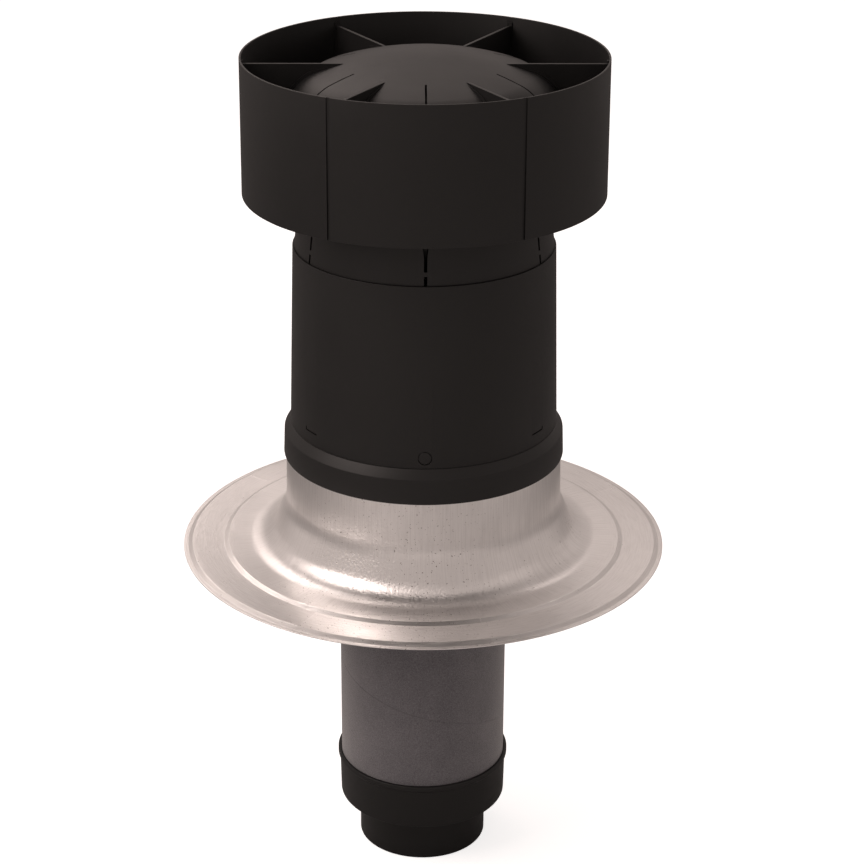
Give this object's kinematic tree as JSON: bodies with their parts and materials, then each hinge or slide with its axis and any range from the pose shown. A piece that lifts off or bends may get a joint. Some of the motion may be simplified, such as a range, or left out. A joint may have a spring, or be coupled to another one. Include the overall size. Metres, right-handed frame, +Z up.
{
  "type": "roof vent terminal",
  "caption": "Flat-roof vent terminal with a hooded black cowl in a wind ring, an aluminium flashing, an insulated pipe and a duct outlet.",
  "frame": {"origin": "centre of the circle on which the flashing's rim lies on the roof", "axes": "+Z up along the pipe and the cowl, -Y to the front with the lock button"},
  "size_m": [0.473, 0.473, 0.8227],
  "materials": {
    "black_plastic": "satin moulded",
    "bare_aluminium": "spun, dull",
    "grey_foam": "closed-cell foam"
  },
  "bodies": {
    "root": {"roof_flashing": "bare_aluminium", "storm_collar": "black_plastic", "outer_jacket": "black_plastic", "lock_buttons": "black_plastic", "cowl_base": "black_plastic", "dome_hood": "black_plastic", "wind_ring": "black_plastic", "insulated_pipe": "grey_foam", "reducer": "black_plastic"}
  },
  "joints": []
}
